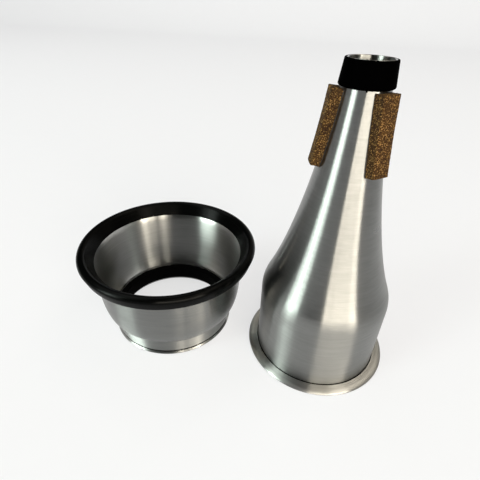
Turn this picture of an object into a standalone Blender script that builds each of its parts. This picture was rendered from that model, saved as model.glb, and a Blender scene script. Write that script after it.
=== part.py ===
"""A trumpet cup mute in spun aluminium, taken apart as it lies on a table.

The tall mute stands on its base at the origin, its narrow mouth up. The loose cup stands
beside it on the -X side, its wide rim up. Outlines are written in millimetres as (radius,
height) pairs and turned about an upright axis.
"""

import math

import bmesh
import bpy
from mathutils import Vector

MM = 0.001
SEGMENTS = 48
SLEEVE_SEGMENTS = 32
SHARP_ANGLE = math.radians(35.0)
MERGE_DISTANCE = 0.000003
HALVINGS = 40

# Clearance between pieces that touch, and the thickness of the spun sheet
GAP = 0.3
WALL = 0.9

# Mute body
MUTE_HEIGHT = 170.0
BARREL_RADIUS = 37.2
BARREL_FOOT = 2.7
SHOULDER_START = 43.0
SHOULDER_ROUND = 23.7
SHOULDER_TURN = math.radians(24.4)
TAPER_HANDLE_LOW = 28.8
TAPER_HANDLE_HIGH = 40.0
TAPER_END_LEAN = math.radians(3.5)
MOUTH_RADIUS = 10.2
SHOULDER_STEPS = 3
TAPER_STEPS = 10

# Base cap
FLANGE_RADIUS = 43.2
FLANGE_TOP = BARREL_FOOT - GAP
FLANGE_BEAD = 1.45
FLOOR_THICKNESS = 1.2
SPIGOT_TOP = 9.0

# Mouth sleeve
SLEEVE_LOW = 158.8
SLEEVE_HIGH = 169.5
SLEEVE_RADIUS_LOW = 12.3
SLEEVE_RADIUS_HIGH = 11.1
SLEEVE_ROUND = 0.5
BORE_STEPS = 3

# Cork pads
CORK_AZIMUTHS = (190.6, 310.6, 70.6)
CORK_LOW = 123.1
CORK_HIGH = 158.0
CORK_HALF_WIDTH = 4.75
CORK_THICKNESS_LOW = 4.3
CORK_THICKNESS_HIGH = 4.9
CORK_CROWN = 0.5
CORK_SLOPE_SPAN = 0.5
CORK_STEPS_LONG = 6
CORK_STEPS_WIDE = 4

# Cup
CUP_X = -98.7
FOOT_RADIUS = 38.1
FOOT_LAND = 0.3
FOOT_BEAD_BULGE = 0.6
FOOT_BEAD_HEIGHT = 2.7
GROOVE_HEIGHT = 3.1
COLLAR_LOW_RADIUS = 38.5
COLLAR_LOW = 3.8
COLLAR_HIGH_RADIUS = 39.9
COLLAR_HIGH = 13.3
BOWL_TURN = math.radians(50.0)
BOWL_HANDLE_LOW = 6.5
BOWL_HANDLE_HIGH = 20.0
BOWL_RADIUS = 46.0
FLARE_START = 49.0
FLARE_ROUND = 10.0
FLARE_TURN = math.radians(45.0)
BEAD_STEPS = 3
BOWL_STEPS = 6
FLARE_STEPS = 3

# Collar lining
LINING_BORE = 34.3
LINING_LOW = 3.0
LINING_HIGH = 12.0
LINING_ROUND = 0.6

# Rim ring, a channel pressed over the flared lip
RING_CREST_RADIUS = 51.8
RING_CREST_HEIGHT = 58.1
RING_CREST_ROUND = 2.8
RING_INNER_RADIUS = 45.4
RING_INNER_LOW = 53.7
RING_BOTTOM_RADIUS = 52.9
RING_BOTTOM = 52.7
RING_CORNER = 0.6
RING_SLOT_EXTRA_TURN = math.radians(2.5)

# Colour, roughness and metallic value of each finish
FINISHES = {
    "spun_aluminium": ((0.60, 0.60, 0.58), 0.32, 1.0),
    "turned_aluminium": ((0.62, 0.62, 0.60), 0.28, 1.0),
    "sleeve_black": ((0.008, 0.008, 0.009), 0.60, 0.0),
    "rubber_black": ((0.012, 0.013, 0.014), 0.38, 0.0),
    "felt_black": ((0.006, 0.006, 0.006), 0.95, 0.0),
    "cork_brown": ((0.22, 0.12, 0.045), 0.75, 0.0),
}


def clear_scene():
    """Remove every object of the opened file."""
    for old in list(bpy.data.objects):
        bpy.data.objects.remove(old, do_unlink=True)


def make_finish(name):
    """Make the material of one named finish."""
    colour, roughness, metallic = FINISHES[name]
    material = bpy.data.materials.new(name)
    material.use_nodes = True
    shader = material.node_tree.nodes["Principled BSDF"]
    shader.inputs["Base Color"].default_value = (*colour, 1.0)
    shader.inputs["Roughness"].default_value = roughness
    shader.inputs["Metallic"].default_value = metallic
    return material


def arc(centre, radius, start, end, steps):
    """Points along an arc, from the angle start to the angle end, both in radians."""
    points = []
    for step in range(steps + 1):
        angle = start + (end - start) * step / steps
        points.append(Vector((centre[0] + radius * math.cos(angle), centre[1] + radius * math.sin(angle))))
    return points


def bezier(start, start_handle, end_handle, end, share):
    """The point of a cubic curve at a share of its run, from 0 to 1."""
    rest = 1.0 - share
    low = start * rest ** 3 + start_handle * 3.0 * rest ** 2 * share
    return low + end_handle * 3.0 * rest * share ** 2 + end * share ** 3


def sheet_outline(outer, wall):
    """Close an outline: the outer side as given, then the inner side one wall further in.

    The outer side runs upwards, so the metal lies on its left.
    """
    inner = []
    for index, point in enumerate(outer):
        before = outer[max(index - 1, 0)]
        after = outer[min(index + 1, len(outer) - 1)]
        run_in = (point - before).normalized() if index else (after - point).normalized()
        run_out = (after - point).normalized() if index < len(outer) - 1 else run_in
        side = Vector((-run_in.y - run_out.y, run_in.x + run_out.x)).normalized()
        spread = side.dot(Vector((-run_in.y, run_in.x)))
        inner.append(point + side * wall / spread)
    return outer + inner[::-1]


def place(name, bm, finish, parent, turn=0.0):
    """Turn a finished bmesh into a smooth-shaded object under its parent."""
    bmesh.ops.recalc_face_normals(bm, faces=bm.faces)
    mesh = bpy.data.meshes.new(name)
    bm.to_mesh(mesh)
    bm.free()
    mesh.shade_smooth()
    mesh.set_sharp_from_angle(angle=SHARP_ANGLE)
    mesh.materials.append(make_finish(finish))
    return place_mesh(name, mesh, parent, turn)


def place_mesh(name, mesh, parent, turn=0.0):
    """Make an object of a mesh, turned about its parent's upright axis."""
    piece = bpy.data.objects.new(name, mesh)
    piece.parent = parent
    piece.rotation_euler.z = turn
    bpy.context.scene.collection.objects.link(piece)
    return piece


def turn_piece(name, outline, finish, parent, segments=SEGMENTS, open_at_axis=False):
    """Spin a closed outline about the upright axis.

    An outline that is open at the axis begins and ends there, for a piece with a solid middle.
    """
    bm = bmesh.new()
    corners = [bm.verts.new((point[0] * MM, 0.0, point[1] * MM)) for point in outline]
    pairs = list(zip(corners, corners[1:]))
    if not open_at_axis:
        pairs.append((corners[-1], corners[0]))
    edges = [bm.edges.new(pair) for pair in pairs]
    bmesh.ops.spin(
        bm,
        geom=corners + edges,
        cent=(0.0, 0.0, 0.0),
        axis=(0.0, 0.0, 1.0),
        angle=math.tau,
        steps=segments,
        use_merge=True,
    )
    bmesh.ops.remove_doubles(bm, verts=bm.verts, dist=MERGE_DISTANCE)
    return place(name, bm, finish, parent)


def make_axis(name, x):
    """An empty on the upright axis that a group of turned pieces shares."""
    axis = bpy.data.objects.new(name, None)
    axis.location = (x * MM, 0.0, 0.0)
    axis.empty_display_size = 0.02
    bpy.context.scene.collection.objects.link(axis)
    return axis


def shoulder_arc():
    """The rounded shoulder, from the top of the barrel to the start of the taper."""
    centre = (BARREL_RADIUS - SHOULDER_ROUND, SHOULDER_START)
    return arc(centre, SHOULDER_ROUND, 0.0, SHOULDER_TURN, SHOULDER_STEPS)


def taper_ends():
    """The taper's curve: its start on the shoulder, two handles and its end at the mouth."""
    start = shoulder_arc()[-1]
    leave = Vector((-math.sin(SHOULDER_TURN), math.cos(SHOULDER_TURN)))
    end = Vector((MOUTH_RADIUS, MUTE_HEIGHT))
    arrive = Vector((-math.sin(TAPER_END_LEAN), math.cos(TAPER_END_LEAN)))
    return start, start + leave * TAPER_HANDLE_LOW, end - arrive * TAPER_HANDLE_HIGH, end


def taper_at(height):
    """The body's outer radius at a height on the taper, found by halving the curve's run."""
    low, high = 0.0, 1.0
    for _ in range(HALVINGS):
        middle = (low + high) / 2.0
        if bezier(*taper_ends(), middle).y < height:
            low = middle
        else:
            high = middle
    return bezier(*taper_ends(), low).x


def body_outline():
    """The body's outer side, from its foot up the barrel, shoulder and taper to the mouth."""
    taper = [bezier(*taper_ends(), step / TAPER_STEPS) for step in range(1, TAPER_STEPS + 1)]
    return [Vector((BARREL_RADIUS, BARREL_FOOT))] + shoulder_arc() + taper


def make_body(parent):
    """The hollow body, one sheet thick, open at its foot and its mouth."""
    turn_piece("body_shell", sheet_outline(body_outline(), WALL), "spun_aluminium", parent)


def make_base_cap(parent):
    """The cap that closes the barrel: floor, rolled flange and a spigot up inside the barrel."""
    bead_centre = (FLANGE_RADIUS - FLANGE_BEAD, FLANGE_BEAD)
    bead_end = math.pi - math.asin((FLANGE_TOP - FLANGE_BEAD) / FLANGE_BEAD)
    spigot_radius = BARREL_RADIUS - WALL - GAP
    outline = [(0.0, 0.0)]
    outline += arc(bead_centre, FLANGE_BEAD, -math.pi / 2.0, bead_end, 6)
    outline += [
        (spigot_radius, FLANGE_TOP),
        (spigot_radius, SPIGOT_TOP),
        (spigot_radius - WALL, SPIGOT_TOP),
        (spigot_radius - WALL, FLOOR_THICKNESS),
        (0.0, FLOOR_THICKNESS),
    ]
    turn_piece("base_cap", outline, "turned_aluminium", parent, open_at_axis=True)


def make_mouth_sleeve(parent):
    """The black sleeve round the mouth, its edges rounded, its bore on the taper."""
    low_round = arc(
        (SLEEVE_RADIUS_LOW - SLEEVE_ROUND, SLEEVE_LOW + SLEEVE_ROUND), SLEEVE_ROUND, -math.pi / 2.0, 0.0, 2
    )
    high_round = arc(
        (SLEEVE_RADIUS_HIGH - SLEEVE_ROUND, SLEEVE_HIGH - SLEEVE_ROUND), SLEEVE_ROUND, 0.0, math.pi / 2.0, 2
    )
    bore = []
    for step in range(BORE_STEPS + 1):
        height = SLEEVE_HIGH + (SLEEVE_LOW - SLEEVE_HIGH) * step / BORE_STEPS
        bore.append((taper_at(height) + GAP, height))
    turn_piece(
        "mouth_sleeve", low_round + high_round + bore, "sleeve_black", parent, segments=SLEEVE_SEGMENTS
    )


def cork_point(along, across, outside):
    """A point of the cork pad that points along +X, in millimetres.

    along runs from 0 at the low end to 1 at the high end, and across from -1 to 1.
    """
    height = CORK_LOW + (CORK_HIGH - CORK_LOW) * along
    rise = taper_at(height + CORK_SLOPE_SPAN) - taper_at(height - CORK_SLOPE_SPAN)
    slope = Vector((rise, 2.0 * CORK_SLOPE_SPAN)).normalized()
    offset = across * CORK_HALF_WIDTH
    reach = math.sqrt((taper_at(height) + GAP) ** 2 - offset ** 2)
    if not outside:
        return Vector((reach, offset, height))
    edge_reach = math.sqrt((taper_at(height) + GAP) ** 2 - CORK_HALF_WIDTH ** 2)
    thickness = CORK_THICKNESS_LOW + (CORK_THICKNESS_HIGH - CORK_THICKNESS_LOW) * along
    thickness += CORK_CROWN * (1.0 - across ** 2)
    return Vector((edge_reach + slope.y * thickness, offset, height - slope.x * thickness))


def make_cork_pads(parent):
    """Three strips of sheet cork, hollowed to sit on the taper, a third of a turn apart."""
    bm = bmesh.new()
    bmesh.ops.create_grid(bm, x_segments=CORK_STEPS_LONG, y_segments=CORK_STEPS_WIDE, size=0.5)
    shares = {vert: (vert.co.x + 0.5, vert.co.y * 2.0) for vert in bm.verts}
    raised = bmesh.ops.extrude_face_region(bm, geom=bm.faces[:])
    lifted = [item for item in raised["geom"] if isinstance(item, bmesh.types.BMVert)]
    for vert in lifted:
        vert.co = cork_point(vert.co.x + 0.5, vert.co.y * 2.0, True) * MM
    for vert, (along, across) in shares.items():
        vert.co = cork_point(along, across, False) * MM
    first = place("cork_pad_1", bm, "cork_brown", parent, math.radians(CORK_AZIMUTHS[0]))
    for number, azimuth in enumerate(CORK_AZIMUTHS[1:], start=2):
        place_mesh(f"cork_pad_{number}", first.data, parent, math.radians(azimuth))


def cup_outline():
    """The cup's outer side, from its foot up over bead, groove, collar, bowl and flared lip."""
    bead = [Vector((FOOT_RADIUS, 0.0))]
    for step in range(BEAD_STEPS + 1):
        share = step / BEAD_STEPS
        radius = FOOT_RADIUS + FOOT_BEAD_BULGE * math.sin(math.pi * share)
        bead.append(Vector((radius, FOOT_LAND + (FOOT_BEAD_HEIGHT - FOOT_LAND) * share)))
    groove = [Vector((FOOT_RADIUS, GROOVE_HEIGHT))]
    collar = [Vector((COLLAR_LOW_RADIUS, COLLAR_LOW))]
    bowl_start = Vector((COLLAR_HIGH_RADIUS, COLLAR_HIGH))
    leave = Vector((math.sin(BOWL_TURN), math.cos(BOWL_TURN)))
    bowl_end = Vector((BOWL_RADIUS, FLARE_START))
    handle_low = bowl_start + leave * BOWL_HANDLE_LOW
    handle_high = bowl_end - Vector((0.0, BOWL_HANDLE_HIGH))
    curve = (bowl_start, handle_low, handle_high, bowl_end)
    bowl = [bezier(*curve, step / BOWL_STEPS) for step in range(BOWL_STEPS)]
    flare_centre = (BOWL_RADIUS + FLARE_ROUND, FLARE_START)
    flare = arc(flare_centre, FLARE_ROUND, math.pi, math.pi - FLARE_TURN, FLARE_STEPS)
    return bead + groove + collar + bowl + flare


def make_cup(parent):
    """The spun cup, one sheet thick, open at its collar and its rim."""
    turn_piece("cup_shell", sheet_outline(cup_outline(), WALL), "spun_aluminium", parent)


def make_collar_lining(parent):
    """The felt band inside the collar, which grips the mute's shoulder."""
    slant = (COLLAR_HIGH_RADIUS - COLLAR_LOW_RADIUS) / (COLLAR_HIGH - COLLAR_LOW)
    back_low = FOOT_RADIUS - WALL - GAP
    back_high = COLLAR_LOW_RADIUS - WALL - GAP + slant * (LINING_HIGH - COLLAR_LOW)
    top_round = arc(
        (LINING_BORE + LINING_ROUND, LINING_HIGH - LINING_ROUND), LINING_ROUND, math.pi / 2.0, math.pi, 2
    )
    outline = [(back_low, LINING_LOW), (back_low, COLLAR_LOW + WALL), (back_high, LINING_HIGH)]
    outline += top_round
    outline.append((LINING_BORE, LINING_LOW))
    turn_piece("collar_lining", outline, "felt_black", parent)


def make_rim_ring(parent):
    """The rubber ring, a rounded channel whose slot takes the cup's flared lip."""
    crest = Vector((RING_CREST_RADIUS, RING_CREST_HEIGHT))
    inner_foot = Vector((RING_INNER_RADIUS, RING_INNER_LOW))
    to_crest = crest - inner_foot
    lean = math.atan2(to_crest.y, to_crest.x)
    touch = math.pi + lean - math.acos(RING_CREST_ROUND / to_crest.length)
    top = arc(crest, RING_CREST_ROUND, touch, 0.0, 7)
    corner = arc(
        (RING_BOTTOM_RADIUS - RING_CORNER, RING_BOTTOM + RING_CORNER), RING_CORNER, 0.0, -math.pi / 2.0, 1
    )
    slot_centre = (BOWL_RADIUS + FLARE_ROUND, FLARE_START)
    slot_end = math.pi - FLARE_TURN - RING_SLOT_EXTRA_TURN
    slot_outer = FLARE_ROUND - GAP
    slot_inner = FLARE_ROUND + WALL + GAP
    outer_start = math.pi - math.asin((RING_BOTTOM - FLARE_START) / slot_outer)
    inner_start = math.pi - math.asin((RING_INNER_LOW - GAP - FLARE_START) / slot_inner)
    outer_side = arc(slot_centre, slot_outer, outer_start, slot_end, 3)
    inner_side = arc(slot_centre, slot_inner, slot_end, inner_start, 3)
    outline = [inner_foot] + top + corner + outer_side + inner_side
    turn_piece("cup_rim_ring", outline, "rubber_black", parent)


def main():
    """Build the mute and the cup."""
    clear_scene()
    mute = make_axis("mute_axis", 0.0)
    make_body(mute)
    make_base_cap(mute)
    make_mouth_sleeve(mute)
    make_cork_pads(mute)
    cup = make_axis("cup_axis", CUP_X)
    make_cup(cup)
    make_collar_lining(cup)
    make_rim_ring(cup)


main()
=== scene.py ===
"""A trumpet cup mute in spun aluminium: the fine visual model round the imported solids.

The tall mute stands on its base at the origin, its narrow mouth up. The loose cup stands beside
it on the -X side, its wide rim up. Outlines are written in millimetres as (radius, height)
points and spun about each part's upright axis. Meshes are in metres.
"""

import logging
import math
from collections.abc import Callable
from dataclasses import dataclass, field
from enum import Enum

import bpy
from bpy.types import Collection, Material, Node, NodeSocket, Object
from mathutils import Matrix, Vector


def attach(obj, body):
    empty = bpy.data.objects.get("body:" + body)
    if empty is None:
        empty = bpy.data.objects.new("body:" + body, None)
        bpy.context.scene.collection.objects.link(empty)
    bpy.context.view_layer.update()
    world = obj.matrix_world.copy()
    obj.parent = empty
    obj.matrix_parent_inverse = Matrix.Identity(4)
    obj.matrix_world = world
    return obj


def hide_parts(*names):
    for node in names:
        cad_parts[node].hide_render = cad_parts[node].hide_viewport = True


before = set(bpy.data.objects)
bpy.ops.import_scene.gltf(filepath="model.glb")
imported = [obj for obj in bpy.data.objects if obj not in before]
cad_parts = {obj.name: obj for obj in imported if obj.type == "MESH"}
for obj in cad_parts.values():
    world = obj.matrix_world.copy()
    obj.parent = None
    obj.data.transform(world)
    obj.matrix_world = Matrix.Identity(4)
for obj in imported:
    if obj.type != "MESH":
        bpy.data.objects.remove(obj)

log = logging.getLogger("cup_mute")

Triple = tuple[float, float, float]
Colour = Triple
Stops = tuple[tuple[float, Colour], ...]
Range = tuple[float, float]
Span = tuple[float, float, float, float]  # a value's range, and the range that it becomes
Noise = tuple[float, float]  # its clouds to the metre, and its finer layers
Feed = NodeSocket | Vector | Colour | float  # what a node's input takes

MM = 0.001
FULL_TURN = math.tau
QUARTER_TURN = 0.25  # as a share of a full one
MERGE_DISTANCE = 0.000002
SMOOTH_ANGLE = math.radians(32.0)
ORIGIN: Triple = (0.0, 0.0, 0.0)
UP: Triple = (0.0, 0.0, 1.0)
NOISE_RANGE: Range = (0.3, 0.7)  # most of a noise's values
LOOKS_INWARDS = -0.2  # a face's normal along the way from the axis
CUP_X = -98.7
BARE_METAL: Colour = (0.255, 0.258, 0.25)
CAP_METAL: Colour = (0.31, 0.31, 0.30)


class Body(Enum):
    """The two bodies that pieces ride on."""

    MUTE = "mute"
    CUP = "cup"


class Slot(Enum):
    """The record's finishes."""

    SPUN = "spun_aluminium"
    TURNED = "turned_aluminium"
    SLEEVE = "sleeve_black"
    CORK = "cork_brown"
    FELT = "felt_black"
    RUBBER = "rubber_black"


# ---------------------------------------------------------------- outlines


def arc(centre: Vector, radius: float, start: float, end: float, steps: int) -> list[Vector]:
    """Lay points along an arc.

    Args:
        centre: the arc's centre.
        radius: the arc's radius.
        start: the angle it starts at, in radians.
        end: the angle it ends at, in radians.
        steps: how many equal steps it takes.

    Returns:
        The points, both ends included.
    """
    points = []
    for step in range(steps + 1):
        angle = start + (end - start) * step / steps
        points.append(centre + Vector((math.cos(angle), math.sin(angle))) * radius)
    return points


def bezier(curve: tuple[Vector, Vector, Vector, Vector], share: float) -> Vector:
    """Find the point of a cubic curve at a share of its run.

    Args:
        curve: the start, its handle, the end's handle and the end.
        share: how far along the curve, from 0 to 1.

    Returns:
        The point.
    """
    start, start_handle, end_handle, end = curve
    rest = 1.0 - share
    low = start * rest ** 3 + start_handle * 3.0 * rest ** 2 * share
    return low + end_handle * 3.0 * rest * share ** 2 + end * share ** 3


def inner_side(outer: list[Vector], wall: float) -> list[Vector]:
    """Offset the outer side of a sheet to its inner side.

    Args:
        outer: the outer side, from the foot up, with the metal on its left.
        wall: the sheet's thickness.

    Returns:
        The inner side, in the same order as the outer one.
    """
    inner = []
    for index, point in enumerate(outer):
        before = outer[max(index - 1, 0)]
        after = outer[min(index + 1, len(outer) - 1)]
        run_in = (point - before).normalized() if index else (after - point).normalized()
        run_out = (after - point).normalized() if index < len(outer) - 1 else run_in
        side = Vector((-run_in.y - run_out.y, run_in.x + run_out.x)).normalized()
        inner.append(point + side * wall / side.dot(Vector((-run_in.y, run_in.x))))
    return inner


def rounded(corners: list[tuple[Vector, float]], steps: int) -> list[Vector]:
    """Round the corners of a closed outline.

    Args:
        corners: each corner with the radius that rounds it, 0 for a sharp one.
        steps: how many steps each rounding takes.

    Returns:
        The points of the outline.
    """
    points = []
    for index, (corner, radius) in enumerate(corners):
        if radius <= 0.0:
            points.append(corner)
            continue
        to_last = (corners[index - 1][0] - corner).normalized()
        to_next = (corners[(index + 1) % len(corners)][0] - corner).normalized()
        half_angle = to_last.angle(to_next) / 2.0
        reach = radius / math.tan(half_angle)
        centre = corner + (to_last + to_next).normalized() * radius / math.sin(half_angle)
        first = corner + to_last * reach - centre
        last = corner + to_next * reach - centre
        start = math.atan2(first.y, first.x)
        turn = math.remainder(math.atan2(last.y, last.x) - start, FULL_TURN)
        points += arc(centre, radius, start, start + turn, steps)
    return points


# ---------------------------------------------------------------- workshop


def deselect_everything() -> None:
    """Leave edit mode and let go of every object."""
    if bpy.context.object and bpy.context.object.mode != "OBJECT":
        bpy.ops.object.mode_set(mode="OBJECT")
    bpy.ops.object.select_all(action="DESELECT")


def new_piece(name: str) -> Object:
    """Name the primitive that was just added.

    Args:
        name: the piece's name.

    Returns:
        The piece.
    """
    piece = bpy.context.object
    piece.name = name
    piece.data.name = name
    return piece


def select_edges(piece: Object, chosen: Callable[[Vector, Vector], bool]) -> None:
    """Go to edit mode with only the chosen edges selected.

    Args:
        piece: the piece.
        chosen: tells from an edge's two ends whether it is chosen.
    """
    bpy.ops.object.mode_set(mode="EDIT")
    bpy.ops.mesh.select_mode(type="EDGE")
    bpy.ops.mesh.select_all(action="DESELECT")
    bpy.ops.object.mode_set(mode="OBJECT")
    ends = piece.data.vertices
    for edge in piece.data.edges:
        edge.select = chosen(*(ends[index].co for index in edge.vertices))
    bpy.ops.object.mode_set(mode="EDIT")


def settle(piece: Object) -> None:
    """Move a finished piece's place into its mesh and shade it smooth.

    Args:
        piece: the piece.
    """
    deselect_everything()
    bpy.context.view_layer.objects.active = piece
    piece.select_set(True)
    bpy.ops.object.transform_apply(location=True, rotation=True, scale=True)
    bpy.ops.object.shade_smooth_by_angle(angle=SMOOTH_ANGLE)
    piece.select_set(False)


def finish_inside(piece: Object, axis_x: float, finish: Material) -> None:
    """Give the faces that look towards the axis a finish of their own.

    Args:
        piece: a turned shell.
        axis_x: the place of its axis, in millimetres.
        finish: the inner finish.
    """
    piece.data.materials.append(finish)
    for face in piece.data.polygons:
        outwards = Vector((face.center.x - axis_x * MM, face.center.y, 0.0))
        if face.normal.dot(outwards.normalized()) < LOOKS_INWARDS:
            face.material_index = 1


def paint_crevice_shade(
    piece: Object, axis_x: float, finish: Material, radii: Range, heights: Range
) -> None:
    """Give the faces in a crevice a dark finish of their own, which paints shade into it.

    Args:
        piece: a turned piece.
        axis_x: the place of its axis, in millimetres.
        finish: the crevice's dark finish, painted shade.
        radii: the crevice's least and greatest radius, in millimetres.
        heights: its lowest and highest place, in millimetres.
    """
    piece.data.materials.append(finish)
    for face in piece.data.polygons:
        reach = Vector((face.center.x - axis_x * MM, face.center.y)).length / MM
        in_height = heights[0] < face.center.z / MM < heights[1]
        if in_height and radii[0] < reach < radii[1]:
            face.material_index = len(piece.data.materials) - 1


def hand_over(
    piece: Object, body: Body, finish: Material, stands_for: str | None = None
) -> None:
    """Dress a piece and let it ride on its body.

    Args:
        piece: the piece.
        body: the body that carries it.
        finish: its material.
        stands_for: the CAD node that it replaces, if any.
    """
    piece.data.materials.clear()
    piece.data.materials.append(finish)
    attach(piece, body.value)
    if stands_for:
        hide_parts(stands_for)
    log.info("%s rides on %s, %d faces", piece.name, body.value, len(piece.data.polygons))


@dataclass(frozen=True)
class Lathe:
    """Spins a closed outline about an upright axis."""

    axis_x: float
    steps: int = 240

    def turn(self, name: str, outline: list[Vector]) -> Object:
        """Spin one piece.

        Args:
            name: the piece's name.
            outline: the closed outline in millimetres, as (radius, height) points.

        Returns:
            The piece, settled at the origin.
        """
        deselect_everything()
        centre = (self.axis_x * MM, 0.0, 0.0)
        bpy.ops.mesh.primitive_circle_add(vertices=len(outline), radius=MM, location=centre)
        piece = new_piece(name)
        for corner, point in zip(piece.data.vertices, outline):
            corner.co = Vector((point.x, 0.0, point.y)) * MM
        bpy.ops.object.mode_set(mode="EDIT")
        bpy.ops.mesh.select_all(action="SELECT")
        bpy.ops.mesh.spin(steps=self.steps, angle=FULL_TURN, center=centre, axis=UP)
        bpy.ops.mesh.select_all(action="SELECT")
        bpy.ops.mesh.remove_doubles(threshold=MERGE_DISTANCE)
        bpy.ops.mesh.delete_loose(use_verts=True, use_edges=True, use_faces=False)
        bpy.ops.mesh.select_all(action="SELECT")
        bpy.ops.mesh.normals_make_consistent(inside=False)
        settle(piece)
        return piece


# ---------------------------------------------------------------- finishes


class Bench:
    """Adds nodes to one new material and joins them."""

    def __init__(self, name: str) -> None:
        """Start a material with its surface shader.

        Args:
            name: the material's name.
        """
        self.material = bpy.data.materials.new(name)
        self.material.use_nodes = True
        self.tree = self.material.node_tree
        self.shader = self.tree.nodes["Principled BSDF"]

    def feed(self, socket: NodeSocket, value: Feed) -> None:
        """Join an output to an input, or set the input's constant.

        Args:
            socket: the input.
            value: an output to join, or a constant.
        """
        if isinstance(value, NodeSocket):
            self.tree.links.new(value, socket)
        else:
            socket.default_value = (*value, 1.0) if socket.type == "RGBA" else value

    def add(self, kind: str, *values: Feed, **settings: str) -> Node:
        """Add a node and feed its inputs in their order.

        Args:
            kind: the node's type, without its common beginning.
            values: outputs or constants for the first inputs.
            settings: values of the node's own settings.

        Returns:
            The node.
        """
        node = self.tree.nodes.new("ShaderNode" + kind)
        for setting, value in settings.items():
            setattr(node, setting, value)
        sockets = [socket for socket in node.inputs if socket.enabled]
        for socket, value in zip(sockets, values):
            self.feed(socket, value)
        return node

    def get(self, kind: str, *values: Feed, **settings: str) -> NodeSocket:
        """Add a node as add does and take its first output."""
        node = self.add(kind, *values, **settings)
        return next(socket for socket in node.outputs if socket.enabled)

    def sum(self, operation: str, *values: Feed) -> NodeSocket:
        """Work out a number by a named operation."""
        return self.get("Math", *values, operation=operation)

    def plus(self, first: Feed, second: Feed) -> NodeSocket:
        """Add two numbers."""
        return self.sum("ADD", first, second)

    def times(self, first: Feed, second: Feed) -> NodeSocket:
        """Multiply two numbers."""
        return self.sum("MULTIPLY", first, second)

    def vector(self, operation: str, *values: Feed) -> NodeSocket:
        """Work out a vector by a named operation; the scale of SCALE comes second."""
        return self.get("VectorMath", *values, operation=operation)

    def place(self, axis_x: float = 0.0, lengthwise: float = 1.0) -> NodeSocket:
        """Read the place on the piece.

        Args:
            axis_x: the axis that becomes the pattern's origin, in millimetres.
            lengthwise: how much the upright direction is scaled.

        Returns:
            The place's output.
        """
        here = self.add("TexCoord").outputs["Object"]
        return self.get("Mapping", here, (-axis_x * MM, 0.0, 0.0), ORIGIN, (1.0, 1.0, lengthwise))

    def noise(self, place: Feed, clouds: float, layers: float) -> NodeSocket:
        """Add cloudy noise, with its clouds to the unit and its finer layers."""
        return self.get("TexNoise", place, clouds, layers)

    def span(self, value: Feed, *ranges: float) -> NodeSocket:
        """Map a value's range, clamped, to another; each range is its low and its high end."""
        return self.get("MapRange", value, *ranges)

    def vary(self, noise: Feed, low: float, high: float) -> NodeSocket:
        """Spread the values that a noise mostly has from low to high."""
        return self.span(noise, *NOISE_RANGE, low, high)

    def flecked(self, noise: Feed, shows: Span, colour: Colour, fleck: Colour) -> NodeSocket:
        """Mix in a second colour where a noise shows it."""
        return self.blend(self.span(noise, *shows), colour, fleck)

    def mixed(self, first: Feed, share: float, second: Feed, second_share: float) -> NodeSocket:
        """Add shares of two numbers."""
        return self.plus(self.times(first, share), self.times(second, second_share))

    def centred(self, first: Feed, second: Feed, share: float) -> NodeSocket:
        """Add a share of a second noise to a first one, with 0 as their middle."""
        both = self.plus(first, self.times(second, share))
        return self.sum("SUBTRACT", both, 0.5 * (1.0 + share))

    def height(self, place: Feed) -> NodeSocket:
        """Read how high a place is."""
        return self.add("SeparateXYZ", place).outputs["Z"]

    def tint(self, value: NodeSocket, stops: Stops) -> NodeSocket:
        """Colour a value by a ramp.

        Args:
            value: the value.
            stops: each stop's position and colour.

        Returns:
            The colour.
        """
        ramp = self.add("ValToRGB", value)
        elements = ramp.color_ramp.elements
        while len(elements) < len(stops):
            elements.new(0.5)
        for element, (position, colour) in zip(elements, stops):
            element.position = position
            element.color = (*colour, 1.0)
        return ramp.outputs["Color"]

    def blend(self, share: Feed, first: Feed, second: Feed) -> NodeSocket:
        """Mix a share of a second colour into the first."""
        return self.get("Mix", share, first, second, data_type="RGBA")

    def bump(self, relief: NodeSocket, depth: float) -> NodeSocket:
        """Raise a relief.

        Args:
            relief: its height, 0 to 1.
            depth: how deep it is, in millimetres.

        Returns:
            The normal.
        """
        node = self.add("Bump")
        for name, value in (("Strength", 1.0), ("Distance", depth * MM), ("Height", relief)):
            self.feed(node.inputs[name], value)
        return node.outputs["Normal"]

    def set_shader(self, **values: Feed) -> Material:
        """Set the surface shader's sockets.

        Args:
            values: each socket's name, with _ for a space, and its value.

        Returns:
            The finished material.
        """
        for name, value in values.items():
            self.feed(self.shader.inputs[name.replace("_", " ")], value)
        return self.material


@dataclass(frozen=True)
class Marks:
    """Tool marks: their width in millimetres, how fast they change round the axis, and layers."""

    width: float
    laps: float
    layers: float


class TurnedSurface:
    """The coordinates of a surface that was turned on a lathe."""

    def __init__(self, bench: Bench, axis_x: float) -> None:
        """Read the place from the axis, and point along the tool marks, round the axis.

        Args:
            bench: where the material is made.
            axis_x: the place of the axis, in millimetres.
        """
        self.bench = bench
        self.place = bench.place(axis_x)
        self.around = bench.vector("NORMALIZE", bench.vector("CROSS_PRODUCT", UP, self.place))

    def draw(self, marks: Marks) -> NodeSocket:
        """Draw tool marks that run round the axis.

        Args:
            marks: what they are like.

        Returns:
            The marks' value.
        """
        bench = self.bench
        fineness = 1.0 / (marks.width * MM)
        radius = bench.vector("LENGTH", bench.vector("MULTIPLY", self.place, (1.0, 1.0, 0.0)))
        outwards = bench.get("CombineXYZ", 0.0, 0.0, bench.times(radius, fineness))
        spot = bench.vector("ADD", bench.vector("SCALE", self.around, marks.laps), outwards)
        height = bench.times(bench.height(self.place), fineness)
        return bench.get("TexNoise", spot, height, 1.0, marks.layers, noise_dimensions="4D")


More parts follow.
